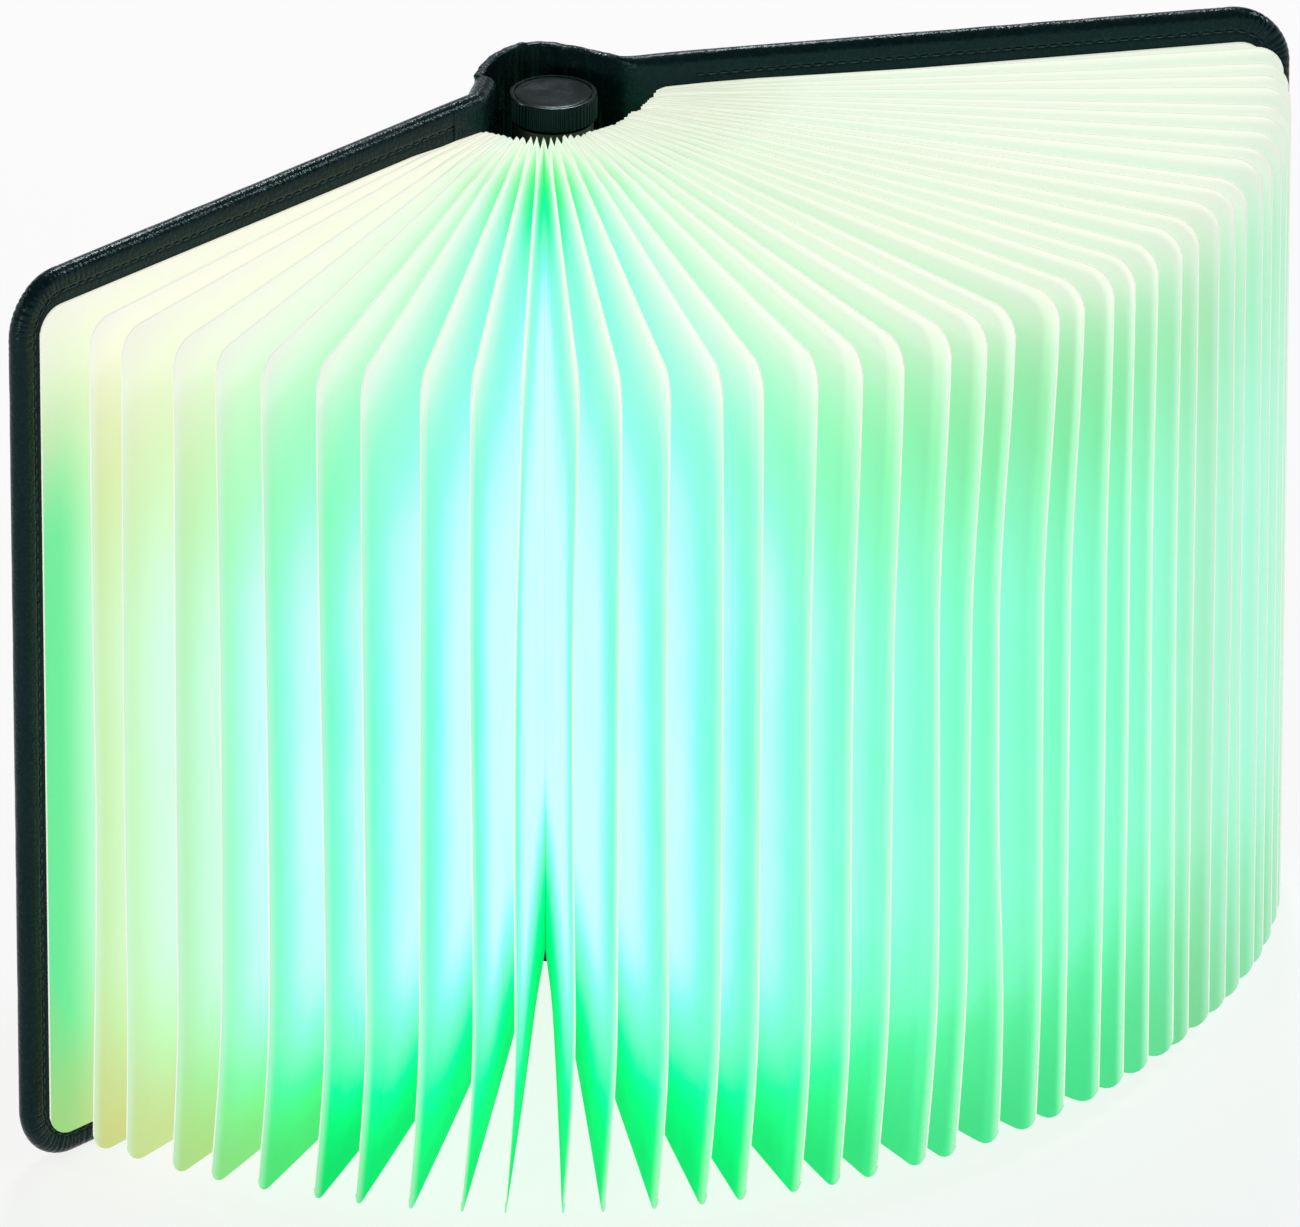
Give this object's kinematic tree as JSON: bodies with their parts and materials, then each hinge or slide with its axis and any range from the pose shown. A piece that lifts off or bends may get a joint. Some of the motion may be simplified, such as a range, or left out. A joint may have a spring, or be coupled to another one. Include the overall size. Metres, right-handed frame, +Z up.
{
  "type": "folding book lamp",
  "caption": "Book-shaped table lamp: two leatherette covers open round a light core and fan out lit paper leaves, with a dimmer knob on top.",
  "frame": {"origin": "centre of the core's round foot, on the surface that the lamp stands on", "axes": "+Z up along the core and the knob's axis, -Y towards the middle of the fanned leaves, +X towards the right cover"},
  "size_m": [0.326, 0.175, 0.215],
  "materials": {
    "leatherette": "semi-gloss grained leatherette",
    "paper": "translucent matte paper",
    "greyboard": "matte",
    "knob_black": "gloss",
    "black_plastic": "matte",
    "frosted_plastic": "frosted",
    "grey_plastic": "matte",
    "white_board": "matte",
    "green_board": "matte",
    "led": "lit",
    "cell_wrap": "gloss",
    "steel": "satin",
    "brass": "satin"
  },
  "bodies": {
    "core": {"core_housing": "black_plastic", "core_diffuser": "frosted_plastic", "led_board": "white_board", "led_lights": "led", "battery_cells": "cell_wrap", "control_board": "green_board", "charging_socket": "steel", "dimmer_body": "grey_plastic", "dimmer_nut": "brass", "spine_strip": "leatherette"},
    "knob": {"dimmer_shaft": "steel", "dimmer_knob": "knob_black"},
    "left_cover": {"left_cover_skin": "leatherette", "left_cover_board": "greyboard", "left_magnets": "steel", "left_end_sheet": "paper"},
    "right_cover": {"right_cover_skin": "leatherette", "right_cover_board": "greyboard", "right_magnets": "steel", "right_end_sheet": "paper"},
    "leaf_01_body": {"leaf_01": "paper"},
    "leaf_02_body": {"leaf_02": "paper"},
    "leaf_03_body": {"leaf_03": "paper"},
    "leaf_04_body": {"leaf_04": "paper"},
    "leaf_05_body": {"leaf_05": "paper"},
    "leaf_06_body": {"leaf_06": "paper"},
    "leaf_07_body": {"leaf_07": "paper"},
    "leaf_08_body": {"leaf_08": "paper"},
    "leaf_09_body": {"leaf_09": "paper"},
    "leaf_10_body": {"leaf_10": "paper"},
    "leaf_11_body": {"leaf_11": "paper"},
    "leaf_12_body": {"leaf_12": "paper"},
    "leaf_13_body": {"leaf_13": "paper"},
    "leaf_14_body": {"leaf_14": "paper"},
    "leaf_15_body": {"leaf_15": "paper"},
    "leaf_16_body": {"leaf_16": "paper"},
    "leaf_17_body": {"leaf_17": "paper"},
    "leaf_18_body": {"leaf_18": "paper"},
    "leaf_19_body": {"leaf_19": "paper"},
    "leaf_20_body": {"leaf_20": "paper"},
    "leaf_21_body": {"leaf_21": "paper"},
    "leaf_22_body": {"leaf_22": "paper"},
    "leaf_23_body": {"leaf_23": "paper"},
    "leaf_24_body": {"leaf_24": "paper"},
    "leaf_25_body": {"leaf_25": "paper"},
    "leaf_26_body": {"leaf_26": "paper"},
    "leaf_27_body": {"leaf_27": "paper"},
    "leaf_28_body": {"leaf_28": "paper"},
    "leaf_29_body": {"leaf_29": "paper"},
    "leaf_30_body": {"leaf_30": "paper"},
    "leaf_31_body": {"leaf_31": "paper"},
    "leaf_32_body": {"leaf_32": "paper"},
    "leaf_33_body": {"leaf_33": "paper"},
    "leaf_34_body": {"leaf_34": "paper"},
    "leaf_35_body": {"leaf_35": "paper"},
    "leaf_36_body": {"leaf_36": "paper"},
    "leaf_37_body": {"leaf_37": "paper"},
    "leaf_38_body": {"leaf_38": "paper"},
    "leaf_39_body": {"leaf_39": "paper"},
    "leaf_40_body": {"leaf_40": "paper"}
  },
  "joints": [
    {"name": "right_cover_open", "type": "hinge", "parent": "core", "child": "right_cover", "pos_m": [0.01275, -0.002, 0], "axis": [0, 0, 1], "range_deg": [-72.5, 107.5], "deforming": ["spine_strip"]},
    {"name": "left_cover_open", "type": "hinge", "parent": "core", "child": "left_cover", "pos_m": [-0.00675, -0.002, 0], "axis": [0, 0, 1], "range_deg": [-107.5, 72.5]},
    {"name": "knob_turn", "type": "hinge", "parent": "core", "child": "knob", "pos_m": [0, 0, 0.21], "axis": [0, 0, 1], "range_deg": [-150, 150]},
    {"name": "leaf_01_turn", "type": "hinge", "parent": "core", "child": "leaf_01_body", "pos_m": [-0.00627, -0.002, 0], "axis": [0, 0, 1], "range_deg": [-100.68, 67.9]},
    {"name": "leaf_02_turn", "type": "hinge", "parent": "core", "child": "leaf_02_body", "pos_m": [-0.0058, -0.002, 0], "axis": [0, 0, 1], "range_deg": [-95.16, 64.18]},
    {"name": "leaf_03_turn", "type": "hinge", "parent": "core", "child": "leaf_03_body", "pos_m": [-0.00532, -0.002, 0], "axis": [0, 0, 1], "range_deg": [-87.85, 59.25]},
    {"name": "leaf_04_turn", "type": "hinge", "parent": "core", "child": "leaf_04_body", "pos_m": [-0.00485, -0.002, 0], "axis": [0, 0, 1], "range_deg": [-82.08, 55.36]},
    {"name": "leaf_05_turn", "type": "hinge", "parent": "core", "child": "leaf_05_body", "pos_m": [-0.00437, -0.002, 0], "axis": [0, 0, 1], "range_deg": [-76.05, 51.3]},
    {"name": "leaf_06_turn", "type": "hinge", "parent": "core", "child": "leaf_06_body", "pos_m": [-0.0039, -0.002, 0], "axis": [0, 0, 1], "range_deg": [-69.08, 46.59]},
    {"name": "leaf_07_turn", "type": "hinge", "parent": "core", "child": "leaf_07_body", "pos_m": [-0.00342, -0.002, 0], "axis": [0, 0, 1], "range_deg": [-63.97, 43.15]},
    {"name": "leaf_08_turn", "type": "hinge", "parent": "core", "child": "leaf_08_body", "pos_m": [-0.00295, -0.002, 0], "axis": [0, 0, 1], "range_deg": [-57.27, 38.63]},
    {"name": "leaf_09_turn", "type": "hinge", "parent": "core", "child": "leaf_09_body", "pos_m": [-0.00247, -0.002, 0], "axis": [0, 0, 1], "range_deg": [-51.27, 34.58]},
    {"name": "leaf_10_turn", "type": "hinge", "parent": "core", "child": "leaf_10_body", "pos_m": [-0.00199, -0.002, 0], "axis": [0, 0, 1], "range_deg": [-46.04, 31.06]},
    {"name": "leaf_11_turn", "type": "hinge", "parent": "core", "child": "leaf_11_body", "pos_m": [-0.00152, -0.002, 0], "axis": [0, 0, 1], "range_deg": [-39.18, 26.43]},
    {"name": "leaf_12_turn", "type": "hinge", "parent": "core", "child": "leaf_12_body", "pos_m": [-0.00104, -0.002, 0], "axis": [0, 0, 1], "range_deg": [-34.17, 23.05]},
    {"name": "leaf_13_turn", "type": "hinge", "parent": "core", "child": "leaf_13_body", "pos_m": [-0.00057, -0.002, 0], "axis": [0, 0, 1], "range_deg": [-28.28, 19.08]},
    {"name": "leaf_14_turn", "type": "hinge", "parent": "core", "child": "leaf_14_body", "pos_m": [-0.00009, -0.002, 0], "axis": [0, 0, 1], "range_deg": [-22.05, 14.88]},
    {"name": "leaf_15_turn", "type": "hinge", "parent": "core", "child": "leaf_15_body", "pos_m": [0.00038, -0.002, 0], "axis": [0, 0, 1], "range_deg": [-17.41, 11.75]},
    {"name": "leaf_16_turn", "type": "hinge", "parent": "core", "child": "leaf_16_body", "pos_m": [0.00086, -0.002, 0], "axis": [0, 0, 1], "range_deg": [-10.98, 7.41]},
    {"name": "leaf_17_turn", "type": "hinge", "parent": "core", "child": "leaf_17_body", "pos_m": [0.00134, -0.002, 0], "axis": [0, 0, 1], "range_deg": [-5.82, 3.93]},
    {"name": "leaf_18_turn", "type": "hinge", "parent": "core", "child": "leaf_18_body", "pos_m": [0.00181, -0.002, 0], "axis": [0, 0, 1], "range_deg": [-0.79, 0.54]},
    {"name": "leaf_19_turn", "type": "hinge", "parent": "core", "child": "leaf_19_body", "pos_m": [0.00229, -0.002, 0], "axis": [0, 0, 1], "range_deg": [-3.72, 5.51]},
    {"name": "leaf_20_turn", "type": "hinge", "parent": "core", "child": "leaf_20_body", "pos_m": [0.00276, -0.002, 0], "axis": [0, 0, 1], "range_deg": [-6.66, 9.87]},
    {"name": "leaf_21_turn", "type": "hinge", "parent": "core", "child": "leaf_21_body", "pos_m": [0.00324, -0.002, 0], "axis": [0, 0, 1], "range_deg": [-10.52, 15.59]},
    {"name": "leaf_22_turn", "type": "hinge", "parent": "core", "child": "leaf_22_body", "pos_m": [0.00371, -0.002, 0], "axis": [0, 0, 1], "range_deg": [-14.18, 21.02]},
    {"name": "leaf_23_turn", "type": "hinge", "parent": "core", "child": "leaf_23_body", "pos_m": [0.00419, -0.002, 0], "axis": [0, 0, 1], "range_deg": [-17.07, 25.3]},
    {"name": "leaf_24_turn", "type": "hinge", "parent": "core", "child": "leaf_24_body", "pos_m": [0.00466, -0.002, 0], "axis": [0, 0, 1], "range_deg": [-21.15, 31.35]},
    {"name": "leaf_25_turn", "type": "hinge", "parent": "core", "child": "leaf_25_body", "pos_m": [0.00514, -0.002, 0], "axis": [0, 0, 1], "range_deg": [-24.1, 35.72]},
    {"name": "leaf_26_turn", "type": "hinge", "parent": "core", "child": "leaf_26_body", "pos_m": [0.00562, -0.002, 0], "axis": [0, 0, 1], "range_deg": [-27.38, 40.6]},
    {"name": "leaf_27_turn", "type": "hinge", "parent": "core", "child": "leaf_27_body", "pos_m": [0.00609, -0.002, 0], "axis": [0, 0, 1], "range_deg": [-31.16, 46.2]},
    {"name": "leaf_28_turn", "type": "hinge", "parent": "core", "child": "leaf_28_body", "pos_m": [0.00657, -0.002, 0], "axis": [0, 0, 1], "range_deg": [-33.73, 50.01]},
    {"name": "leaf_29_turn", "type": "hinge", "parent": "core", "child": "leaf_29_body", "pos_m": [0.00704, -0.002, 0], "axis": [0, 0, 1], "range_deg": [-37.44, 55.51]},
    {"name": "leaf_30_turn", "type": "hinge", "parent": "core", "child": "leaf_30_body", "pos_m": [0.00752, -0.002, 0], "axis": [0, 0, 1], "range_deg": [-40.53, 60.1]},
    {"name": "leaf_31_turn", "type": "hinge", "parent": "core", "child": "leaf_31_body", "pos_m": [0.00799, -0.002, 0], "axis": [0, 0, 1], "range_deg": [-43.26, 64.13]},
    {"name": "leaf_32_turn", "type": "hinge", "parent": "core", "child": "leaf_32_body", "pos_m": [0.00847, -0.002, 0], "axis": [0, 0, 1], "range_deg": [-47, 69.68]},
    {"name": "leaf_33_turn", "type": "hinge", "parent": "core", "child": "leaf_33_body", "pos_m": [0.00895, -0.002, 0], "axis": [0, 0, 1], "range_deg": [-49.46, 73.34]},
    {"name": "leaf_34_turn", "type": "hinge", "parent": "core", "child": "leaf_34_body", "pos_m": [0.00942, -0.002, 0], "axis": [0, 0, 1], "range_deg": [-52.65, 78.06]},
    {"name": "leaf_35_turn", "type": "hinge", "parent": "core", "child": "leaf_35_body", "pos_m": [0.0099, -0.002, 0], "axis": [0, 0, 1], "range_deg": [-55.91, 82.89]},
    {"name": "leaf_36_turn", "type": "hinge", "parent": "core", "child": "leaf_36_body", "pos_m": [0.01037, -0.002, 0], "axis": [0, 0, 1], "range_deg": [-58.19, 86.28]},
    {"name": "leaf_37_turn", "type": "hinge", "parent": "core", "child": "leaf_37_body", "pos_m": [0.01085, -0.002, 0], "axis": [0, 0, 1], "range_deg": [-61.69, 91.47]},
    {"name": "leaf_38_turn", "type": "hinge", "parent": "core", "child": "leaf_38_body", "pos_m": [0.01132, -0.002, 0], "axis": [0, 0, 1], "range_deg": [-64.23, 95.23]},
    {"name": "leaf_39_turn", "type": "hinge", "parent": "core", "child": "leaf_39_body", "pos_m": [0.0118, -0.002, 0], "axis": [0, 0, 1], "range_deg": [-66.83, 99.09]},
    {"name": "leaf_40_turn", "type": "hinge", "parent": "core", "child": "leaf_40_body", "pos_m": [0.01227, -0.002, 0], "axis": [0, 0, 1], "range_deg": [-70.16, 104.02]}
  ],
  "couplings": [
    {"joint": "left_cover_open", "follows": "right_cover_open", "ratio": -1},
    {"joint": "leaf_01_turn", "follows": "right_cover_open", "ratio": -0.93642},
    {"joint": "leaf_02_turn", "follows": "right_cover_open", "ratio": -0.88515},
    {"joint": "leaf_03_turn", "follows": "right_cover_open", "ratio": -0.81714},
    {"joint": "leaf_04_turn", "follows": "right_cover_open", "ratio": -0.76349},
    {"joint": "leaf_05_turn", "follows": "right_cover_open", "ratio": -0.70739},
    {"joint": "leaf_06_turn", "follows": "right_cover_open", "ratio": -0.64252},
    {"joint": "leaf_07_turn", "follows": "right_cover_open", "ratio": -0.59501},
    {"joint": "leaf_08_turn", "follows": "right_cover_open", "ratio": -0.53266},
    {"joint": "leaf_09_turn", "follows": "right_cover_open", "ratio": -0.47682},
    {"joint": "leaf_10_turn", "follows": "right_cover_open", "ratio": -0.42821},
    {"joint": "leaf_11_turn", "follows": "right_cover_open", "ratio": -0.36442},
    {"joint": "leaf_12_turn", "follows": "right_cover_open", "ratio": -0.31777},
    {"joint": "leaf_13_turn", "follows": "right_cover_open", "ratio": -0.263},
    {"joint": "leaf_14_turn", "follows": "right_cover_open", "ratio": -0.20504},
    {"joint": "leaf_15_turn", "follows": "right_cover_open", "ratio": -0.16189},
    {"joint": "leaf_16_turn", "follows": "right_cover_open", "ratio": -0.10208},
    {"joint": "leaf_17_turn", "follows": "right_cover_open", "ratio": -0.054012},
    {"joint": "leaf_18_turn", "follows": "right_cover_open", "ratio": -0.007271},
    {"joint": "leaf_19_turn", "follows": "right_cover_open", "ratio": 0.051182},
    {"joint": "leaf_20_turn", "follows": "right_cover_open", "ratio": 0.091708},
    {"joint": "leaf_21_turn", "follows": "right_cover_open", "ratio": 0.14497},
    {"joint": "leaf_22_turn", "follows": "right_cover_open", "ratio": 0.1954},
    {"joint": "leaf_23_turn", "follows": "right_cover_open", "ratio": 0.23528},
    {"joint": "leaf_24_turn", "follows": "right_cover_open", "ratio": 0.29156},
    {"joint": "leaf_25_turn", "follows": "right_cover_open", "ratio": 0.33223},
    {"joint": "leaf_26_turn", "follows": "right_cover_open", "ratio": 0.37754},
    {"joint": "leaf_27_turn", "follows": "right_cover_open", "ratio": 0.42963},
    {"joint": "leaf_28_turn", "follows": "right_cover_open", "ratio": 0.46509},
    {"joint": "leaf_29_turn", "follows": "right_cover_open", "ratio": 0.51631},
    {"joint": "leaf_30_turn", "follows": "right_cover_open", "ratio": 0.55894},
    {"joint": "leaf_31_turn", "follows": "right_cover_open", "ratio": 0.5965},
    {"joint": "leaf_32_turn", "follows": "right_cover_open", "ratio": 0.64814},
    {"joint": "leaf_33_turn", "follows": "right_cover_open", "ratio": 0.6821},
    {"joint": "leaf_34_turn", "follows": "right_cover_open", "ratio": 0.72606},
    {"joint": "leaf_35_turn", "follows": "right_cover_open", "ratio": 0.77097},
    {"joint": "leaf_36_turn", "follows": "right_cover_open", "ratio": 0.8025},
    {"joint": "leaf_37_turn", "follows": "right_cover_open", "ratio": 0.85083},
    {"joint": "leaf_38_turn", "follows": "right_cover_open", "ratio": 0.88577},
    {"joint": "leaf_39_turn", "follows": "right_cover_open", "ratio": 0.92167},
    {"joint": "leaf_40_turn", "follows": "right_cover_open", "ratio": 0.96757}
  ]
}
